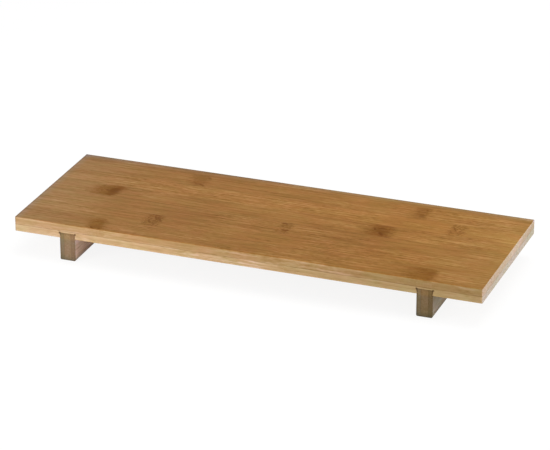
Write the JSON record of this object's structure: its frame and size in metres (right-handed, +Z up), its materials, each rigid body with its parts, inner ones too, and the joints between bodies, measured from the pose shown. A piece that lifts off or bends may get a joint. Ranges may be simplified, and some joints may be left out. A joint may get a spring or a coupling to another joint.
{
  "type": "geta serving board",
  "caption": "Low footed serving board: a flat panel of layered, edge-glued bamboo strips on laminated cross legs that are let into its underside in sliding dovetails.",
  "frame": {"origin": "centre of the footprint, on the plane that the two legs stand on", "axes": "+X along the board to its right end, +Y from the front edge to the back edge, +Z up out of the serving face"},
  "size_m": [0.42, 0.152, 0.0334],
  "materials": {
    "upper_bamboo": "sanded and oiled, satin, carbonised caramel bamboo with long grain and dark nodes",
    "lower_bamboo": "sanded and oiled, satin, a lighter straw-coloured bamboo",
    "leg_bamboo": "sanded and oiled, satin, with bare end grain at the front and back"
  },
  "bodies": {
    "root": {"upper_strip_1": "upper_bamboo", "upper_strip_2": "upper_bamboo", "upper_strip_3": "upper_bamboo", "upper_strip_4": "upper_bamboo", "upper_strip_5": "upper_bamboo", "upper_strip_6": "upper_bamboo", "upper_strip_7": "upper_bamboo", "lower_strip_1": "lower_bamboo", "lower_strip_2": "lower_bamboo", "lower_strip_3": "lower_bamboo", "lower_strip_4": "lower_bamboo", "lower_strip_5": "lower_bamboo", "lower_strip_6": "lower_bamboo", "lower_strip_7": "lower_bamboo", "left_leg_outer_lamella": "leg_bamboo", "left_leg_core_lamella": "leg_bamboo", "left_leg_inner_lamella": "leg_bamboo", "right_leg_outer_lamella": "leg_bamboo", "right_leg_core_lamella": "leg_bamboo", "right_leg_inner_lamella": "leg_bamboo"}
  },
  "joints": []
}
